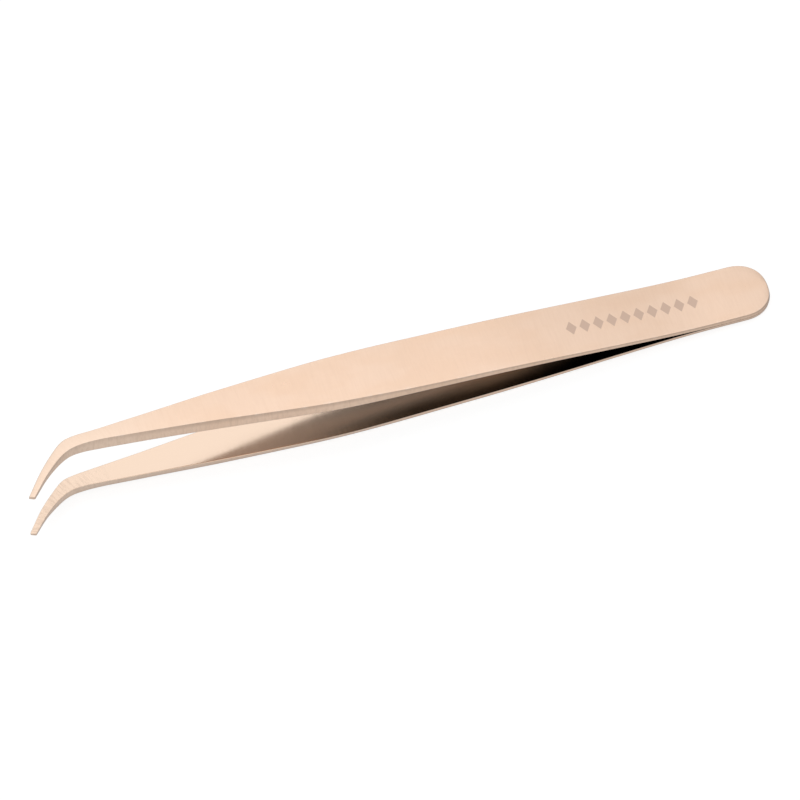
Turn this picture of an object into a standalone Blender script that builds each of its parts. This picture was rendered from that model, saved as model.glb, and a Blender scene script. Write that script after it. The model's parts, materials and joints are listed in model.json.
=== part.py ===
"""Bent-tip beauty tweezers: two spring-steel arms spot-welded together at a rounded heel.

Each arm is one strip on the real tool. Here it is a short welded root and a long blade, so that
the blade can swing about the point where the strip bends when the tweezers are squeezed.

The tool is drawn in its own frame, in millimetres: u runs from the heel's end to the tips, +Y is the
side that the tips turn away from, and the arms mirror each other about z = 0. One empty then lays
the whole tool on its lower arm, as it lies on a table. The scene itself is in metres.
"""

import math

import bmesh
import bpy
import numpy as np
from mathutils import Vector

MM = 0.001

# Strip: thickness and plan at the heel, whose end is a slightly squared round (2 is a plain ellipse)
HEEL_THICKNESS = 0.74
HALF_WIDTH = 5.0
HEEL_ROUND_LENGTH = 5.1
HEEL_SQUARENESS = 2.25
JOINT_GAP = 0.02  # from the mid-plane to each arm where they are welded face to face

# Flex point, where a squeezed arm bends, and the parting between root and blade there
FLEX_U = 25.0
PARTING = 0.3

# The flat stretch of each outer face, which the tool lies on
REST_SLOPE = 0.0535
REST_START = 66.0
REST_END = 88.0

# Spot welds
WELD_U = (3.8, 7.4)
WELD_RADIUS = 1.2
WELD_HEIGHT = 0.5
WELD_POCKET_RADIUS = 1.3
WELD_POCKET_DEPTH = 0.3

# Edges
OUTER_EDGE = 0.15
INNER_EDGE = 0.07


def rest_line(u):
    return HEEL_THICKNESS + REST_SLOPE * u


# Profiles along the arm: (u, value, slope)
INNER_HEIGHT = (
    (9.5, 0.0, 0.0),
    (20.0, 0.41, 0.066),
    (30.0, 1.13, 0.076),
    (44.0, 2.02, 0.052),
    (60.0, 2.72, 0.042),
    (84.0, 3.68, 0.036),
    (100.0, 4.06, 0.016),
    (110.0, 4.12, 0.004),
    (116.4, 4.10, 0.020),
    (120.2, 4.24, 0.044),
)
OUTER_HEIGHT = (
    (0.0, HEEL_THICKNESS, 0.0),
    (9.5, HEEL_THICKNESS, 0.0),
    (20.0, 1.16, 0.068),
    (30.0, 1.90, 0.078),
    (44.0, 2.96, 0.064),
    (56.0, 3.62, 0.060),
    (REST_START, rest_line(REST_START), REST_SLOPE),
    (REST_END, rest_line(REST_END), REST_SLOPE),
    (98.0, 5.73, 0.022),
    (106.0, 5.90, 0.016),
    (110.0, 5.90, -0.020),
    (114.0, 5.60, -0.125),
    (117.6, 4.96, -0.125),
    (120.2, 4.74, -0.050),
)
INNER_HALF_WIDTH = (
    (56.0, HALF_WIDTH, 0.0),
    (69.5, 4.88, -0.045),
    (77.0, 4.34, -0.090),
    (98.2, 2.30, -0.096),
    (104.2, 1.76, -0.090),
)
# How much further in the outer face's edge lies than the inner face's
SIDE_SLOPE_INSET = (
    (0.0, 0.10, 0.0),
    (36.0, 0.12, 0.004),
    (57.0, 0.25, 0.012),
    (68.0, 0.50, 0.008),
    (84.0, 0.53, 0.0),
    (106.0, 0.50, 0.0),
    (112.0, 0.18, -0.035),
    (116.0, 0.04, 0.0),
)
# Bent end in plan: each row pairs (u, y) on the back edge with (u, y) on the front edge
BENT_END = (
    ((104.2, 1.76), (104.2, -1.76)),
    ((107.8, 1.42), (107.0, -1.52)),
    ((110.9, 1.08), (109.7, -1.36)),
    ((112.8, 0.50), (111.9, -1.60)),
    ((114.8, -1.18), (114.0, -2.68)),
    ((117.4, -3.82), (116.5, -4.72)),
    ((120.2, -7.40), (119.3, -7.78)),
)
ELBOW_STEPS = 5

STEEL = {"color": (0.90, 0.66, 0.50, 1.0), "metallic": 1.0, "roughness": 0.28}
WELD = {"color": (0.62, 0.60, 0.57, 1.0), "metallic": 1.0, "roughness": 0.45}


def profile(knots, u):
    """A cubic through (u, value, slope) knots, level with the end values outside them."""
    if u <= knots[0][0]:
        return knots[0][1]
    for (u0, v0, s0), (u1, v1, s1) in zip(knots, knots[1:]):
        if u <= u1:
            span = u1 - u0
            t = (u - u0) / span
            start = (1 + 2 * t) * (1 - t) ** 2 * v0 + t * (1 - t) ** 2 * span * s0
            end = t * t * (3 - 2 * t) * v1 + t * t * (t - 1) * span * s1
            return start + end
    return knots[-1][1]


def smooth_between(before, start, end, after, t):
    """The point at t between start and end on a curve through all four."""
    bend = (
        2 * start
        + t * (end - before)
        + t * t * (2 * before - 5 * start + 4 * end - after)
        + t**3 * (3 * start - before - 3 * end + after)
    )
    return bend / 2


def bent_end_sections():
    """(back, front) plan points from the end of the straight part to the tip."""
    rows = np.array(BENT_END)
    rows = np.concatenate([[2 * rows[0] - rows[1]], rows, [2 * rows[-1] - rows[-2]]])
    sections = []
    for i in range(1, len(rows) - 2):
        for step in range(ELBOW_STEPS):
            sections.append(smooth_between(*rows[i - 1 : i + 3], step / ELBOW_STEPS))
    sections.append(rows[-2])
    return sections


def straight_sections(start, end, count):
    """(back, front) plan points of evenly spaced sections square to the arm."""
    sections = []
    for u in np.linspace(start, end, count):
        half = profile(INNER_HALF_WIDTH, u)
        sections.append(np.array(((u, half), (u, -half))))
    return sections


def heel_sections():
    """Sections round the heel's end, closer together where the outline turns fastest."""
    sections = []
    for angle in np.radians(np.linspace(8, 90, 12)):
        u = HEEL_ROUND_LENGTH * (1 - math.cos(angle) ** (2 / HEEL_SQUARENESS))
        half = HALF_WIDTH * math.sin(angle) ** (2 / HEEL_SQUARENESS)
        sections.append(np.array(((u, half), (u, -half))))
    return sections


def section_ring(section, side):
    """Eight corners of the strip's cross-section: side is +1 for the upper arm, -1 for the lower."""
    back, front = section
    inward = (front - back) / np.linalg.norm(front - back)
    ring = []
    for edge, direction in ((back, inward), (front, -inward)):
        u = edge[0]
        inner = profile(INNER_HEIGHT, u) + JOINT_GAP
        outer = profile(OUTER_HEIGHT, u)
        inset = profile(SIDE_SLOPE_INSET, u)
        corners = (
            (edge + direction * INNER_EDGE, inner),
            (edge, inner + INNER_EDGE),
            (edge + direction * inset, outer - OUTER_EDGE),
            (edge + direction * (inset + OUTER_EDGE), outer),
        )
        points = [(-plan[0], plan[1], side * height) for plan, height in corners]
        ring.extend(points if direction is inward else reversed(points))
    return ring


def loft(name, sections, side, origin):
    """A closed body through the sections, with its object origin at the given point (mm)."""
    mesh = bpy.data.meshes.new(name)
    body = bmesh.new()
    rings = []
    for section in sections:
        ring = section_ring(section, side)
        rings.append([body.verts.new((Vector(point) - origin) * MM) for point in ring])
    for ring, following in zip(rings, rings[1:]):
        for i, corner in enumerate(ring):
            after = (i + 1) % len(ring)
            body.faces.new((corner, ring[after], following[after], following[i]))
    body.faces.new(rings[0])
    body.faces.new(rings[-1])
    bmesh.ops.recalc_face_normals(body, faces=body.faces)
    body.to_mesh(mesh)
    body.free()
    mesh.shade_smooth()
    mesh.set_sharp_from_angle(angle=math.radians(25))
    piece = bpy.data.objects.new(name, mesh)
    piece.location = origin * MM
    return piece


def cylinder(name, radius, height, u):
    bpy.ops.mesh.primitive_cylinder_add(
        radius=radius * MM, depth=height * MM, vertices=32, location=(-u * MM, 0, 0)
    )
    piece = bpy.context.object
    piece.name = name
    return piece


def material(name, color, metallic, roughness):
    new = bpy.data.materials.new(name)
    new.use_nodes = True
    shader = new.node_tree.nodes["Principled BSDF"]
    shader.inputs["Base Color"].default_value = color
    shader.inputs["Metallic"].default_value = metallic
    shader.inputs["Roughness"].default_value = roughness
    return new


def collection(name):
    new = bpy.data.collections.new(name)
    bpy.context.scene.collection.children.link(new)
    return new


def put_in(group, piece, frame):
    for holder in list(piece.users_collection):
        holder.objects.unlink(piece)
    group.objects.link(piece)
    piece.parent = frame


def weld_pocket(u):
    """A cutter for the recess that a spot weld fills, half in each arm."""
    pocket = cylinder(f"weld_pocket_{u:g}", WELD_POCKET_RADIUS, 2 * WELD_POCKET_DEPTH, u)
    pocket.hide_render = True
    pocket.display_type = "WIRE"
    return pocket


def flex_point(side):
    """The middle of the strip's thickness where it bends."""
    middle = (profile(INNER_HEIGHT, FLEX_U) + JOINT_GAP + profile(OUTER_HEIGHT, FLEX_U)) / 2
    return Vector((-FLEX_U, 0, side * middle))


def arm(side_name, side, pockets):
    """The welded root and the moving blade of one arm."""
    root_sections = heel_sections() + straight_sections(7, FLEX_U - PARTING / 2, 14)
    blade_sections = straight_sections(FLEX_U + PARTING / 2, 102.5, 40) + bent_end_sections()
    root = loft(f"{side_name}_heel", root_sections, side, Vector())
    blade = loft(f"{side_name}_arm", blade_sections, side, flex_point(side))
    for pocket in pockets:
        cut = root.modifiers.new(pocket.name, "BOOLEAN")
        cut.operation = "DIFFERENCE"
        cut.object = pocket
    steel = material(f"rose_gold_steel_{side_name}", **STEEL)
    for piece in (root, blade):
        piece.data.materials.append(steel)
    return root, blade


def lay_on_table(frame, pieces):
    """Tilts the tool onto the flat of its lower arm, with the world origin under its middle."""
    frame.rotation_euler = (0, math.atan(REST_SLOPE), 0)
    bpy.context.view_layer.update()
    corners = [piece.matrix_world @ vertex.co for piece in pieces for vertex in piece.data.vertices]
    corners = np.array(corners)
    low, high = corners.min(axis=0), corners.max(axis=0)
    frame.location = (-(low[0] + high[0]) / 2, -(low[1] + high[1]) / 2, -low[2])
    bpy.context.view_layer.update()


def main():
    for old in list(bpy.data.objects):
        bpy.data.objects.remove(old)
    parts = collection("bent_tip_tweezers")
    cutters = collection("cutters")
    frame = bpy.data.objects.new("tweezers_frame", None)
    parts.objects.link(frame)

    pockets = [weld_pocket(u) for u in WELD_U]
    pieces = []
    for side_name, side in (("upper", 1), ("lower", -1)):
        pieces.extend(arm(side_name, side, pockets))
    weld_metal = material("weld_metal", **WELD)
    for number, u in enumerate(WELD_U, 1):
        weld = cylinder(f"spot_weld_{number}", WELD_RADIUS, WELD_HEIGHT, u)
        weld.data.materials.append(weld_metal)
        pieces.append(weld)

    for piece in pieces:
        put_in(parts, piece, frame)
    for pocket in pockets:
        put_in(cutters, pocket, frame)
    lay_on_table(frame, pieces)


main()
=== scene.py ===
"""The looks of the bent-tip tweezers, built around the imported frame.

Each arm is one unbroken strip here: a fine loft that replaces its welded root and its blade, and bends
across the flex joint. Lengths in the shape tables are millimetres in the tool's own frame: u runs from
the heel's end to the tips, y is the side that the tips turn away from, and z is square to the flats.
"""

import json
import math

import bpy
import numpy as np
from mathutils import Matrix, Vector


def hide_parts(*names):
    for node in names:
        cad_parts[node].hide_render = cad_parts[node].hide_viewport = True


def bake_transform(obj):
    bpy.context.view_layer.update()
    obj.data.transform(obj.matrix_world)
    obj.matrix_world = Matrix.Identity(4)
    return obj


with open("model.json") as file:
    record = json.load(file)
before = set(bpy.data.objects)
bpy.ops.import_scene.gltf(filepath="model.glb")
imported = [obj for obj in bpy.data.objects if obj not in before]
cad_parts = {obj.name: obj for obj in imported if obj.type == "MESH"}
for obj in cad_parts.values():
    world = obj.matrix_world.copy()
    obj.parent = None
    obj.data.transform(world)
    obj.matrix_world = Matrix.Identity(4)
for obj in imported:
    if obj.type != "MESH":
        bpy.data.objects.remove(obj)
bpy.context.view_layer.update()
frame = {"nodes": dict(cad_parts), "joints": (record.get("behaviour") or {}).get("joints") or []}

MM = 0.001

# The strip's plan and heights, as in the CAD
HEEL_THICKNESS = 0.74
HALF_WIDTH = 5.0
HEEL_ROUND_LENGTH = 5.1
HEEL_SQUARENESS = 2.25
FLEX_U = 25.0
REST_SLOPE = 0.0535
REST_START = 66.0
REST_END = 88.0
WELD_U = (3.8, 7.4)
WELD_POCKET_RADIUS = 1.3
WELD_POCKET_DEPTH = 0.3


def rest_line(u):
    return HEEL_THICKNESS + REST_SLOPE * u


# Profiles along the arm: (u, value, slope)
INNER_HEIGHT = (
    (9.5, 0.0, 0.0),
    (20.0, 0.41, 0.066),
    (30.0, 1.13, 0.076),
    (44.0, 2.02, 0.052),
    (60.0, 2.72, 0.042),
    (84.0, 3.68, 0.036),
    (100.0, 4.06, 0.016),
    (110.0, 4.12, 0.004),
    (116.4, 4.10, 0.020),
    (120.2, 4.24, 0.044),
)
OUTER_HEIGHT = (
    (0.0, HEEL_THICKNESS, 0.0),
    (9.5, HEEL_THICKNESS, 0.0),
    (20.0, 1.16, 0.068),
    (30.0, 1.90, 0.078),
    (44.0, 2.96, 0.064),
    (56.0, 3.62, 0.060),
    (REST_START, rest_line(REST_START), REST_SLOPE),
    (REST_END, rest_line(REST_END), REST_SLOPE),
    (98.0, 5.73, 0.022),
    (106.0, 5.90, 0.016),
    (110.0, 5.90, -0.020),
    (114.0, 5.60, -0.125),
    (117.6, 4.96, -0.125),
    (120.2, 4.74, -0.050),
)
INNER_HALF_WIDTH = (
    (56.0, HALF_WIDTH, 0.0),
    (69.5, 4.88, -0.045),
    (77.0, 4.34, -0.090),
    (98.2, 2.30, -0.096),
    (104.2, 1.76, -0.090),
)
SIDE_SLOPE_INSET = (
    (0.0, 0.10, 0.0),
    (36.0, 0.12, 0.004),
    (57.0, 0.25, 0.012),
    (68.0, 0.50, 0.008),
    (84.0, 0.53, 0.0),
    (106.0, 0.50, 0.0),
    (112.0, 0.18, -0.035),
    (116.0, 0.04, 0.0),
)
BENT_END = (
    ((104.2, 1.76), (104.2, -1.76)),
    ((107.8, 1.42), (107.0, -1.52)),
    ((110.9, 1.08), (109.7, -1.36)),
    ((112.8, 0.50), (111.9, -1.60)),
    ((114.8, -1.18), (114.0, -2.68)),
    ((117.4, -3.82), (116.5, -4.72)),
    ((120.2, -7.40), (119.3, -7.78)),
)

# What the looks add: the gap from the mid-plane to each inner face, the rounded edges, how much lower a
# crowned outer face is along its edges, and the tip's rounded corners
INNER_GAP = ((9.5, 0.003, 0.0), (16.0, 0.02, 0.0))
INNER_EDGE_RADIUS = ((8.0, 0.05, 0.0), (11.0, 0.07, 0.0), (112.0, 0.07, 0.0), (118.0, 0.05, 0.0))
OUTER_EDGE_RADIUS = ((0.0, 0.08, 0.0), (108.0, 0.08, 0.0), (117.0, 0.06, 0.0))
CROWN = 0.08
TIP_CORNER = 0.2

# How finely the loft is divided: along the heel's round, the straight part, the bend and the tip's
# corners, then across the faces, up the walls and round the edges
HEEL_SECTIONS = 26
HEEL_FIRST_ANGLE = 6
STRAIGHT_SECTIONS = 108
STRAIGHT_START = 5.9
STRAIGHT_END = 102.9
BEND_STEPS = 12
TIP_SECTIONS = 7
ACROSS = (0.0, 0.012, 0.05, 0.13, 0.25, 0.375, 0.5, 0.625, 0.75, 0.87, 0.95, 0.988, 1.0)
WALL_LEVELS = (0.12, 0.5, 0.88)
INNER_EDGE_STEPS = 4
OUTER_EDGE_STEPS = 6
POCKET_FACETS = 48

# Faces that meet at more than this keep a sharp edge
SHARP_ANGLE = math.radians(50)

# How much of the edge wear each kind of surface takes: a rounded edge takes all of it
WALL_WEAR = 0.2
FACE_RIM_WEAR = 0.5


def profile(knots, u):
    """A cubic through (u, value, slope) knots, level with the end values outside them."""
    knots = np.array(knots)
    u = np.clip(u, knots[0, 0], knots[-1, 0])
    i = np.clip(np.searchsorted(knots[:, 0], u, side="right") - 1, 0, len(knots) - 2)
    u0, v0, s0 = knots[i].T
    u1, v1, s1 = knots[i + 1].T
    span = u1 - u0
    t = (u - u0) / span
    start = (1 + 2 * t) * (1 - t) ** 2 * v0 + t * (1 - t) ** 2 * span * s0
    end = t * t * (3 - 2 * t) * v1 + t * t * (t - 1) * span * s1
    return start + end


def smooth_between(before, start, end, after, t):
    """The point at t between start and end on a curve through all four."""
    bend = (
        2 * start
        + t * (end - before)
        + t * t * (2 * before - 5 * start + 4 * end - after)
        + t**3 * (3 * start - before - 3 * end + after)
    )
    return bend / 2


def unit(vector):
    return vector / np.linalg.norm(vector)


def plan_sections():
    """(back, front) plan points from the heel's end to the tip, as one array."""
    sections = []
    for angle in np.radians(np.linspace(HEEL_FIRST_ANGLE, 90, HEEL_SECTIONS)):
        u = HEEL_ROUND_LENGTH * (1 - math.cos(angle) ** (2 / HEEL_SQUARENESS))
        half = HALF_WIDTH * math.sin(angle) ** (2 / HEEL_SQUARENESS)
        sections.append(((u, half), (u, -half)))
    for u in np.linspace(STRAIGHT_START, STRAIGHT_END, STRAIGHT_SECTIONS):
        half = float(profile(INNER_HALF_WIDTH, u))
        sections.append(((u, half), (u, -half)))
    rows = np.array(BENT_END)
    rows = np.concatenate([[2 * rows[0] - rows[1]], rows, [2 * rows[-1] - rows[-2]]])
    for i in range(1, len(rows) - 2):
        for step in range(BEND_STEPS):
            sections.append(smooth_between(*rows[i - 1 : i + 3], step / BEND_STEPS))
    sections = np.array([np.array(section) for section in sections])
    return np.concatenate([sections, tip_corners(sections[-1], rows[-2])])


def tip_corners(before, end):
    """Sections that round the two corners of the tip's end."""
    across = unit(end[1] - end[0])
    corners = []
    for t in np.linspace(0, 1, TIP_SECTIONS):
        pair = []
        for edge, inward in ((0, across), (1, -across)):
            along = unit(end[edge] - before[edge])
            start = end[edge] - along * TIP_CORNER
            finish = end[edge] + inward * TIP_CORNER
            pair.append((1 - t) ** 2 * start + 2 * t * (1 - t) * end[edge] + t * t * finish)
        corners.append(pair)
    return np.array(corners)


def inner_height(u):
    return profile(INNER_HEIGHT, u) + profile(INNER_GAP, u)


def crown(u):
    return CROWN * profile(INNER_HALF_WIDTH, u) / HALF_WIDTH


def strip_outline(sections):
    """The outline once round, as spots (section, place across), points and directions into the strip."""
    count, last = len(sections), len(ACROSS) - 1
    loop = [(i, 0) for i in range(count)]
    loop += [(count - 1, j) for j in range(1, last)]
    loop += [(i, last) for i in reversed(range(count))]
    loop += [(0, j) for j in reversed(range(1, last))]
    outline = []
    for i, j in loop:
        outline.append(sections[i, 0] * (1 - ACROSS[j]) + sections[i, 1] * ACROSS[j])
    outline = np.array(outline)
    at_heel = np.array([i == 0 for i, j in loop])
    reach = 1 - np.abs(outline[at_heel, 1] / HALF_WIDTH) ** HEEL_SQUARENESS
    outline[at_heel, 0] = HEEL_ROUND_LENGTH * (1 - reach ** (1 / HEEL_SQUARENESS))

    tangent = np.roll(outline, -1, axis=0) - np.roll(outline, 1, axis=0)
    tangent /= np.linalg.norm(tangent, axis=1)[:, None]
    inward = np.stack([tangent[:, 1], -tangent[:, 0]], axis=1)
    to_middle = sections.mean(axis=1)[[i for i, j in loop]] - outline
    inward *= np.sign(np.median(np.einsum("ij,ij->i", inward, to_middle)))
    return loop, outline, inward


def edge_rings(u):
    """Rings from the inner face's edge to the outer's: depth into the strip, height, and four values.

    The values are the edge, wall, inside and rise attributes of the ring's vertices.
    """
    inner = inner_height(u)
    outer = profile(OUTER_HEIGHT, u) - crown(u)
    inset = profile(SIDE_SLOPE_INSET, u)
    small = profile(INNER_EDGE_RADIUS, u)
    large = profile(OUTER_EDGE_RADIUS, u)
    rings = []
    for angle in np.linspace(0, math.pi / 2, INNER_EDGE_STEPS):
        depth = small * (1 - math.sin(angle))
        height = inner + small * (1 - math.cos(angle))
        turn = angle / (math.pi / 2)
        rings.append((depth, height, (1.0, turn, 1 - turn, 0.0)))
    for t in WALL_LEVELS:
        depth = inset * t
        height = (inner + small) * (1 - t) + (outer - large) * t
        rings.append((depth, height, (WALL_WEAR, 1.0, 0.0, t)))
    for angle in np.linspace(0, math.pi / 2, OUTER_EDGE_STEPS):
        depth = inset + large * (1 - math.cos(angle))
        height = outer - large * (1 - math.sin(angle))
        turn = angle / (math.pi / 2)
        rings.append((depth, height, (1.0, 1 - turn, 0.0, 1.0)))
    return rings


def arm_surface(side):
    """Vertices (mm, tool frame), faces, and six values for each vertex.

    The values are the length along the strip and the distance from its middle (mm), then the edge, wall,
    inside and rise attributes.
    """
    sections = plan_sections()
    count, last = len(sections), len(ACROSS) - 1
    middle = sections.mean(axis=1)
    steps = np.linalg.norm(np.diff(middle, axis=0), axis=1)
    along = np.concatenate([[0], np.cumsum(steps)])
    square = np.array([unit(back - front) for back, front in sections])
    loop, outline, inward = strip_outline(sections)
    rings = edge_rings(outline[:, 0])

    points, values = [], []
    row_of = [i for i, j in loop]
    for depth, height, kinds in rings:
        plan = outline + inward * depth[:, None]
        offset = np.einsum("ij,ij->i", plan - middle[row_of], square[row_of])
        for n, row in enumerate(row_of):
            points.append((plan[n, 0], plan[n, 1], height[n]))
            values.append((along[row], offset[n], *kinds))
    size = len(loop)
    faces = []
    for ring in range(len(rings) - 1):
        first, second = ring * size, (ring + 1) * size
        for n in range(size):
            after = (n + 1) % size
            faces.append((first + n, first + after, second + after, second + n))

    # The two faces, between the first and the last ring
    place = {spot: n for n, spot in enumerate(loop)}
    for ring, inside in ((0, 1.0), (len(rings) - 1, 0.0)):
        start = ring * size
        index = np.zeros((count, last + 1), int)
        for i in range(count):
            back, front = points[start + place[(i, 0)]], points[start + place[(i, last)]]
            for j, share in enumerate(ACROSS):
                if (i, j) in place:
                    index[i, j] = start + place[(i, j)]
                    continue
                x = back[0] * (1 - share) + front[0] * share
                y = back[1] * (1 - share) + front[1] * share
                if inside:
                    z = inner_height(x)
                else:
                    z = profile(OUTER_HEIGHT, x) - crown(x) * (2 * share - 1) ** 2
                index[i, j] = len(points)
                points.append((x, y, float(z)))
                offset = float(np.dot(np.array((x, y)) - middle[i], square[i]))
                edge = FACE_RIM_WEAR if j in (1, last - 1) else 0.0
                values.append((along[i], offset, edge, 0.0, inside, 1.0 - inside))
        for i in range(count - 1):
            for j in range(last):
                face = (index[i, j], index[i + 1, j], index[i + 1, j + 1], index[i, j + 1])
                faces.append(tuple(int(v) for v in face))
    points = np.array(points)
    points = np.stack([-points[:, 0], points[:, 1], side * points[:, 2]], axis=1)
    return points, faces, np.array(values)


def tool_frame(joints):
    """The matrix from the tool's frame (metres) to the row frame, read from the two flex joints."""
    found = {joint["name"]: Vector(joint["pos_m"]) for joint in joints}
    upper, lower = found["upper_arm_flex"], found["lower_arm_flex"]
    up = (upper - lower).normalized()
    back = Vector((0, 1, 0))
    ahead = back.cross(up)
    origin = (upper + lower) / 2 + ahead * FLEX_U * MM
    matrix = Matrix((ahead, back, up)).transposed().to_4x4()
    matrix.translation = origin
    return matrix


def cut_pockets(arm, matrix):
    """The recesses that the spot welds fill, cut in the arm's inner face."""
    for u in WELD_U:
        bpy.ops.mesh.primitive_cylinder_add(
            radius=WELD_POCKET_RADIUS * MM,
            depth=2 * WELD_POCKET_DEPTH * MM,
            vertices=POCKET_FACETS,
        )
        cutter = bpy.context.object
        cutter.matrix_world = matrix @ Matrix.Translation(Vector((-u, 0, 0)) * MM)
        cut = arm.modifiers.new("weld_pocket", "BOOLEAN")
        cut.operation = "DIFFERENCE"
        cut.object = cutter
        bpy.context.view_layer.update()
        whole = arm.evaluated_get(bpy.context.evaluated_depsgraph_get())
        mesh = bpy.data.meshes.new_from_object(whole)
        arm.modifiers.clear()
        arm.data = mesh
        bpy.data.objects.remove(cutter)


def build_arm(name, side, matrix, material):
    """One arm's whole strip, with the attributes that its material reads."""
    points, faces, values = arm_surface(side)
    mesh = bpy.data.meshes.new(name)
    mesh.from_pydata((points * MM).tolist(), [], faces)
    strip = mesh.attributes.new("strip", "FLOAT_VECTOR", "POINT")
    coordinates = np.stack([values[:, 0], values[:, 1], points[:, 2] * side], axis=1)
    strip.data.foreach_set("vector", coordinates.astype(np.float32).ravel())
    for column, attribute in ((2, "edge"), (3, "wall"), (4, "inside"), (5, "rise")):
        layer = mesh.attributes.new(attribute, "FLOAT", "POINT")
        layer.data.foreach_set("value", values[:, column].astype(np.float32))
    mesh.materials.append(material)
    mesh.transform(matrix)
    arm = bpy.data.objects.new(name, mesh)
    bpy.context.scene.collection.objects.link(arm)
    bpy.context.view_layer.objects.active = arm
    arm.select_set(True)
    bpy.ops.object.mode_set(mode="EDIT")
    bpy.ops.mesh.select_all(action="SELECT")
    bpy.ops.mesh.normals_make_consistent(inside=False)
    bpy.ops.object.mode_set(mode="OBJECT")
    arm.select_set(False)
    cut_pockets(arm, matrix)
    arm.data.name = name
    arm.data.shade_smooth()
    arm.data.set_sharp_from_angle(angle=SHARP_ANGLE)
    return arm


# ---- materials


class Nodes:
    """A short way to write the nodes of a material or the world."""

    def __init__(self, owner, shader="Principled BSDF"):
        owner.use_nodes = True
        self.owner = owner
        self.tree = owner.node_tree
        self.shader = self.tree.nodes[shader]

    def add(self, kind, inputs=None, **settings):
        node = self.tree.nodes.new(kind)
        for key, value in settings.items():
            setattr(node, key, value)
        for key, value in (inputs or {}).items():
            if isinstance(value, bpy.types.NodeSocket):
                self.tree.links.new(value, node.inputs[key])
            else:
                node.inputs[key].default_value = value
        return node

    def math(self, operation, first, second=0.0, third=0.0):
        node = self.add("ShaderNodeMath", operation=operation)
        for n, value in enumerate((first, second, third)):
            if isinstance(value, bpy.types.NodeSocket):
                self.tree.links.new(value, node.inputs[n])
            else:
                node.inputs[n].default_value = value
        return node.outputs[0]

    def value(self, attribute):
        return self.add("ShaderNodeAttribute", attribute_name=attribute).outputs["Fac"]

    def vector(self, attribute):
        return self.add("ShaderNodeAttribute", attribute_name=attribute).outputs["Vector"]

    def noise(self, coordinates, scale, size=1.0, detail=3.0, roughness=0.55):
        mapping = self.add("ShaderNodeMapping", {"Vector": coordinates, "Scale": scale})
        inputs = {
            "Vector": mapping.outputs[0],
            "Scale": size,
            "Detail": detail,
            "Roughness": roughness,
        }
        return self.add("ShaderNodeTexNoise", inputs).outputs["Fac"]

    def blend(self, share, first, second):
        node = self.add("ShaderNodeMix", data_type="RGBA")
        for socket, value in ((0, share), (6, first), (7, second)):
            if isinstance(value, bpy.types.NodeSocket):
                self.tree.links.new(value, node.inputs[socket])
            else:
                node.inputs[socket].default_value = value
        return node.outputs[2]

    def band(self, value, low, high):
        node = self.add("ShaderNodeMapRange", {"Value": value, "From Min": low, "From Max": high})
        node.interpolation_type = "SMOOTHSTEP"
        return node.outputs[0]

    def join(self, output, key):
        self.tree.links.new(output, self.shader.inputs[key])


# Plating: its two mixed tones, the brush marks, the points, and worn and etched metal; one darker tone
# serves sheared and ground metal and the painted shade on the walls
ROSE = (0.925, 0.672, 0.507, 1.0)
ROSE_PALE = (0.95, 0.708, 0.55, 1.0)
ROSE_DEEP = (0.80, 0.575, 0.43, 1.0)
POINT_PALE = (0.96, 0.75, 0.60, 1.0)
WORN = (0.95, 0.80, 0.68, 1.0)
SHEAR_AND_SHADE_TONE = (0.50, 0.37, 0.29, 1.0)
ETCHED = (0.70, 0.515, 0.41, 1.0)
# The inner faces' colours, from their own clean plating to the painted shade between the two arms
INNER = (0.925, 0.72, 0.57, 1.0)
INNER_SHADE_MID = (0.42, 0.368, 0.318, 1.0)
INNER_SHADE_DARK = (0.035, 0.028, 0.022, 1.0)
# The weld nuggets' heat colours
WELD_STRAW = (0.56, 0.50, 0.42, 1.0)
WELD_BLUE = (0.40, 0.43, 0.50, 1.0)
# Where painted shade darkens the inner faces: all across towards the heel, and along their edges as far as
# the points
THROAT_SHADE_ALONG = (46.0, 18.0)
RIM_SHADE_ALONG = (90.0, 54.0)
RIM_SHADE_ACROSS = (0.20 * HALF_WIDTH, 0.89 * HALF_WIDTH)
# Towards the points: where the painted shade band on the walls fades out, the plating pales, the inner
# faces are polished finer, and the grips are ground
WALL_SHADE_ALONG = (110.0, 90.0)
PALE_ALONG = (84.0, 112.0)
POLISH_ALONG = (66.0, 90.0)
# Where painted shade darkens the walls beside the joint at the heel, where the two arms' walls stand
# stacked
HEEL_WALL_SHADE_ALONG = (24.0, 10.0)
GRIP_ALONG = (103.0, 113.0)

# The etched row
MARK_START = 11.0
MARK_PITCH = 2.17
MARK_COUNT = 10
MARK_HALF_LENGTH = 0.86
MARK_HALF_WIDTH = 1.3
MARK_DEPTH = 4e-6

# Heights of the surface relief in metres: brushing on the outer and inner faces and on the walls, a fine
# overall tooth, and the coarser scoring of the sheared walls and the ground grips
BRUSH_OUTER = 5e-6
BRUSH_INNER = 1.1e-5
BRUSH_WALL = 0.0
TOOTH = 0.5e-6
SCORE_WALL = 1.6e-5
SCORE_GRIP = 1e-5
WELD_SKIN = 2e-5


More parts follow.
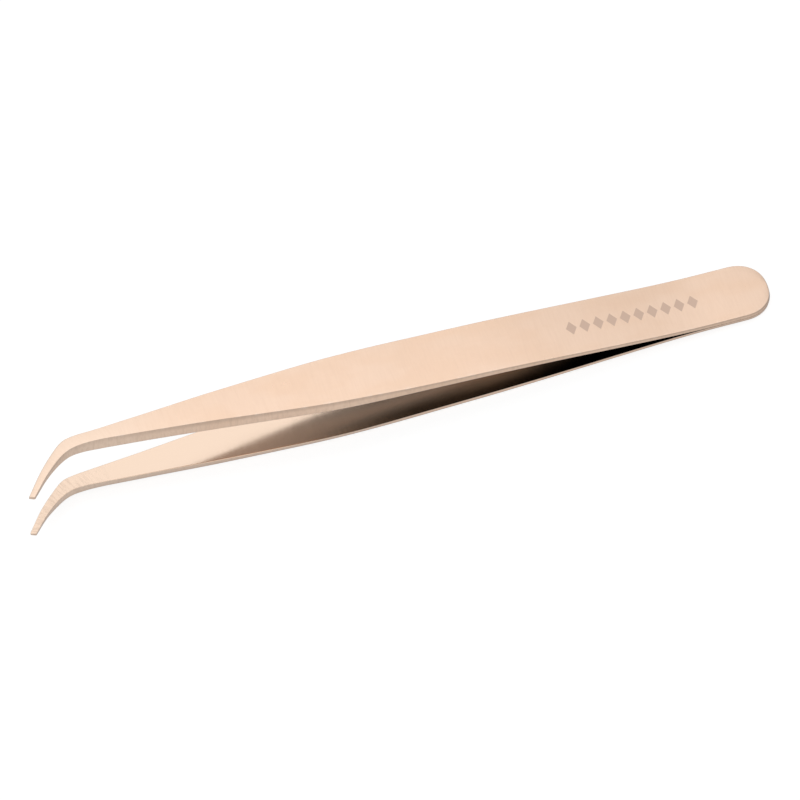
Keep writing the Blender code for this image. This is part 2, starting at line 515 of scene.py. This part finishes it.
def rose_gold(name, etched):
    """Satin rose-gold plate: brushed across the strip, with ground walls, lightly worn edges, and painted
    shade on the walls and inner faces.

    Every noise runs on the strip attribute, in millimetres: along the strip, across it and through it.
    """
    n = Nodes(bpy.data.materials.new(name))
    strip = n.vector("strip")
    edge, wall, inside, rise = (n.value(key) for key in ("edge", "wall", "inside", "rise"))
    axes = n.add("ShaderNodeSeparateXYZ", {"Vector": strip})
    along, across = axes.outputs[0], n.math("ABSOLUTE", axes.outputs[1])
    cloud = n.noise(strip, (0.10, 0.22, 0.22), detail=3)
    grain = n.noise(strip, (3.2, 0.30, 0.30), detail=5, roughness=0.62)
    fine = n.noise(strip, (9.0, 14.0, 14.0), detail=2)
    ground = n.noise(strip, (2.6, 0.5, 0.9), detail=4, roughness=0.65)
    chips = n.noise(strip, (0.9, 1.6, 1.6), detail=5, roughness=0.7)

    color = n.blend(n.band(cloud, 0.35, 0.65), ROSE, ROSE_PALE)
    color = n.blend(n.band(along, *PALE_ALONG), color, POINT_PALE)
    color = n.blend(n.math("MULTIPLY", n.band(grain, 0.35, 0.75), 0.18), color, ROSE_DEEP)
    # Painted shade: a darker band up the outer part of each wall and round its outer edge, weaker towards
    # the points
    painted_wall_shade = n.math("MULTIPLY", wall, n.band(rise, 0.45, 0.95))
    reach = n.math("MULTIPLY_ADD", n.band(along, *WALL_SHADE_ALONG), 0.24, 0.20)
    color = n.blend(n.math("MULTIPLY", painted_wall_shade, reach), color, SHEAR_AND_SHADE_TONE)
    torn = n.band(ground, 0.42, 0.68)
    # Painted shade on the walls towards the heel, plus the real ground mottle over all the walls
    heel_shade_and_grind = n.math("MULTIPLY_ADD", n.band(along, *HEEL_WALL_SHADE_ALONG), 0.18, n.math("MULTIPLY", torn, 0.20))
    color = n.blend(n.math("MULTIPLY", wall, heel_shade_and_grind), color, SHEAR_AND_SHADE_TONE)
    wear = n.math("MULTIPLY", edge, n.band(chips, 0.46, 0.70))
    color = n.blend(n.math("MULTIPLY", wear, 0.5), color, WORN)
    # Painted shade on the inner faces: dark towards the heel and along their edges, standing in for the
    # shade between the arms
    color = n.blend(inside, color, painted_inner_shade(n, along, across, grain))
    grip = n.math("MULTIPLY", inside, n.band(along, *GRIP_ALONG))
    color = n.blend(n.math("MULTIPLY", n.math("MULTIPLY", grip, torn), 0.30), color, SHEAR_AND_SHADE_TONE)

    rough = n.math("MULTIPLY_ADD", cloud, 0.10, 0.215)
    rough = n.math("MULTIPLY_ADD", grain, 0.08, rough)
    rough = n.math("MULTIPLY_ADD", wall, 0.05, rough)
    polish = n.math("MULTIPLY_ADD", n.band(along, *POLISH_ALONG), -0.07, -0.10)
    rough = n.math("MULTIPLY_ADD", inside, polish, rough)
    rough = n.math("MULTIPLY_ADD", grip, 0.12, rough)
    rough = n.math("MULTIPLY_ADD", wear, -0.06, rough)

    brushed = n.math("MULTIPLY_ADD", inside, BRUSH_INNER - BRUSH_OUTER, BRUSH_OUTER)
    brushed = n.math("MULTIPLY_ADD", wall, BRUSH_WALL - BRUSH_OUTER, brushed)
    scored = n.math("MULTIPLY_ADD", wall, SCORE_WALL, n.math("MULTIPLY", grip, SCORE_GRIP))
    height = n.math("MULTIPLY_ADD", grain, brushed, n.math("MULTIPLY", fine, TOOTH))
    height = n.math("MULTIPLY_ADD", ground, scored, height)

    if etched:
        color, rough, height = etch(n, strip, inside, wall, color, rough, height)
    n.join(color, "Base Color")
    n.join(rough, "Roughness")
    n.shader.inputs["Metallic"].default_value = 1.0
    bump = n.add("ShaderNodeBump", {"Height": height, "Strength": 1.0, "Distance": 1.0})
    n.join(bump.outputs[0], "Normal")
    return n.owner


def painted_inner_shade(n, along, across, grain):
    """The inner faces' colour, with painted shade that darkens them towards the heel and along their
    edges, in streaks across the strip.
    """
    along = n.math("MULTIPLY_ADD", n.math("SUBTRACT", grain, 0.5), 7.0, along)
    # Painted shade: darkest in the narrow throat by the heel and along the inner faces' edges
    throat_shade = n.band(along, *THROAT_SHADE_ALONG)
    rim_shade = n.math("MULTIPLY", n.band(across, *RIM_SHADE_ACROSS), n.band(along, *RIM_SHADE_ALONG))
    off_rim_shade = n.math("MULTIPLY_ADD", rim_shade, -0.94, 1.0)
    unshaded = n.math("MULTIPLY", n.math("SUBTRACT", 1.0, throat_shade), off_rim_shade)
    ramp = n.add("ShaderNodeValToRGB", {"Fac": unshaded})
    ramp.color_ramp.elements.new(0.5)
    for stop, color in zip(ramp.color_ramp.elements, (INNER_SHADE_DARK, INNER_SHADE_MID, INNER)):
        stop.color = color
    return ramp.outputs[0]


def etch(n, strip, inside, wall, color, rough, height):
    """A row of plain lozenges etched on the outer face by the heel."""
    axes = n.add("ShaderNodeSeparateXYZ", {"Vector": strip})
    along = n.math("DIVIDE", n.math("SUBTRACT", axes.outputs[0], MARK_START), MARK_PITCH)
    started = n.math("GREATER_THAN", along, 0.0)
    in_row = n.math("MULTIPLY", started, n.math("LESS_THAN", along, MARK_COUNT))
    from_middle = n.math("ABSOLUTE", n.math("SUBTRACT", n.math("FRACT", along), 0.5))
    long_way = n.math("MULTIPLY", from_middle, MARK_PITCH / MARK_HALF_LENGTH)
    wide_way = n.math("DIVIDE", n.math("ABSOLUTE", axes.outputs[1]), MARK_HALF_WIDTH)
    reach = n.math("ADD", long_way, wide_way)
    mask = n.math("MULTIPLY", n.band(reach, 1.04, 0.96), in_row)
    on_outer = n.math("LESS_THAN", n.math("ADD", inside, wall), 0.5)
    mask = n.math("MULTIPLY", mask, on_outer)
    color = n.blend(mask, color, ETCHED)
    rough = n.math("MULTIPLY_ADD", mask, 0.10, rough)
    height = n.math("MULTIPLY_ADD", mask, -MARK_DEPTH, height)
    return color, rough, height


def weld_metal():
    """Bare welded steel: a coarse cast skin with straw and blue heat colours."""
    n = Nodes(bpy.data.materials.new("weld_nugget_steel"))
    coordinates = n.add("ShaderNodeTexCoord").outputs["Object"]
    skin = n.noise(coordinates, (3000.0, 3000.0, 3000.0), detail=5, roughness=0.65)
    tint = n.noise(coordinates, (700.0, 700.0, 700.0), detail=2)
    color = n.blend(n.band(tint, 0.4, 0.6), WELD_STRAW, WELD_BLUE)
    n.join(color, "Base Color")
    n.join(n.math("MULTIPLY_ADD", skin, 0.35, 0.25), "Roughness")
    n.shader.inputs["Metallic"].default_value = 1.0
    height = n.math("MULTIPLY", skin, WELD_SKIN)
    bump = n.add("ShaderNodeBump", {"Height": height, "Distance": 1.0})
    n.join(bump.outputs[0], "Normal")
    return n.owner


# ---- studio

# How bright the studio is from straight down to straight up, by the height of the direction; how it is low
# on the side behind; how much dimmer off the ends and brighter in the window; and what the camera sees
STUDIO = ((-1.0, 0.60), (-0.6, 0.63), (-0.16, 0.70), (0.0, 0.73), (0.5, 0.65), (0.8, 0.65), (1.0, 0.72))
LOW_BACK = (0.37, 0.39, 0.43, 1.0)
END_DIM = 0.30
WINDOW = 0.18
BACKDROP = (0.97, 0.97, 0.97, 1.0)
SOFTBOX = {"centre": (-0.065, 0.0, 0.28), "size": (0.47, 0.73), "watts": 0.42}
FLOOR_LIFT = 0.80
FLOOR_GREY = (0.30, 0.30, 0.30, 1.0)
FLOOR_SIZE = 12
FLOOR_DROP = 2e-5


def studio_world():
    """A pale studio: a window up past the heel, dimmer off both ends and low on the side behind."""
    world = bpy.data.worlds.new("studio")
    bpy.context.scene.world = world
    n = Nodes(world, "Background")
    direction = n.add("ShaderNodeTexCoord").outputs["Generated"]
    along, across, height = n.add("ShaderNodeSeparateXYZ", {"Vector": direction}).outputs
    ramp = n.add("ShaderNodeValToRGB", {"Fac": n.math("MULTIPLY_ADD", height, 0.5, 0.5)})
    stops = ramp.color_ramp.elements
    for at, level in STUDIO[1:-1]:
        stops.new((at + 1) / 2)
    for stop, (at, level) in zip(stops, STUDIO):
        stop.position = (at + 1) / 2
        stop.color = (level, level, level, 1.0)
    ends = n.math("MULTIPLY_ADD", n.band(n.math("ABSOLUTE", along), 0.55, 0.95), -END_DIM, 1.0)
    window = n.math("MULTIPLY", n.band(along, 0.24, 0.50), n.band(height, 0.3, 0.6))
    level = n.math("MULTIPLY", ramp.outputs[0], n.math("MULTIPLY_ADD", window, WINDOW, ends))
    low_back = n.math("MULTIPLY", n.band(across, 0.0, 0.5), n.band(height, 0.0, -0.3))
    level = n.blend(low_back, level, LOW_BACK)
    seen = n.add("ShaderNodeLightPath").outputs["Is Camera Ray"]
    color = n.blend(seen, level, BACKDROP)
    n.tree.links.new(color, n.shader.inputs["Color"])


def studio_floor():
    """A plain pale floor just under the tool, which its metal doesn't mirror."""
    n = Nodes(bpy.data.materials.new("studio_floor"))
    n.shader.inputs["Base Color"].default_value = FLOOR_GREY
    n.shader.inputs["Roughness"].default_value = 0.9
    n.shader.inputs["Specular IOR Level"].default_value = 0.0
    n.shader.inputs["Emission Color"].default_value = (1.0, 1.0, 1.0, 1.0)
    n.shader.inputs["Emission Strength"].default_value = FLOOR_LIFT
    bpy.ops.mesh.primitive_plane_add(size=FLOOR_SIZE, location=(0, 0, -FLOOR_DROP))
    floor = bpy.context.object
    floor.name = "floor"
    floor.data.materials.append(n.owner)
    floor.visible_glossy = False


def softbox():
    """A wide soft light overhead, nearer the points."""
    light = bpy.data.lights.new("softbox", "AREA")
    light.shape = "RECTANGLE"
    light.size, light.size_y = SOFTBOX["size"]
    light.energy = SOFTBOX["watts"]
    lamp = bpy.data.objects.new("softbox", light)
    lamp.location = SOFTBOX["centre"]
    lamp.visible_camera = False
    bpy.context.scene.collection.objects.link(lamp)


# ---- camera: its angle to the tool, and the point of the tool's frame at the middle of the picture

CAMERA_TURN = math.radians(-18.091)
CAMERA_RISE = math.radians(52.0)
CAMERA_DISTANCE = 1.82
CAMERA_LENS = 539.4
PICTURE_CENTRE = (-64.32, 0.0, 0.0)
PICTURE_SHIFT = (4.986, -1.698)


def camera(matrix):
    turn, rise = CAMERA_TURN, CAMERA_RISE
    level, lift = math.cos(rise), math.sin(rise)
    right = Vector((math.cos(turn), math.sin(turn), 0))
    back = Vector((math.sin(turn) * level, -math.cos(turn) * level, lift))
    up = back.cross(right)
    aim = Vector(PICTURE_CENTRE) + right * PICTURE_SHIFT[0] + up * PICTURE_SHIFT[1]
    pose = Matrix((right, up, back)).transposed().to_4x4()
    pose.translation = aim * MM + back * CAMERA_DISTANCE
    data = bpy.data.cameras.new("camera")
    data.lens = CAMERA_LENS
    data.sensor_width = 36.0
    data.clip_start = 0.05
    data.clip_end = 100.0
    view = bpy.data.objects.new("camera", data)
    view.matrix_world = matrix @ pose
    bpy.context.scene.collection.objects.link(view)
    bpy.context.scene.camera = view


def main():
    matrix = tool_frame(frame["joints"])
    camera(matrix)
    studio_world()
    studio_floor()
    softbox()
    bpy.context.scene.view_settings.view_transform = "Standard"

    for side_name, side in (("upper", 1), ("lower", -1)):
        material = rose_gold(f"satin_rose_gold_{side_name}", etched=side > 0)
        arm = build_arm(f"{side_name}_strip", side, matrix, material)
        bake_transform(arm)
        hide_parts(f"{side_name}_heel", f"{side_name}_arm")
    weld = weld_metal()
    for name in ("spot_weld_1", "spot_weld_2"):
        frame["nodes"][name].data.materials.clear()
        frame["nodes"][name].data.materials.append(weld)


main()
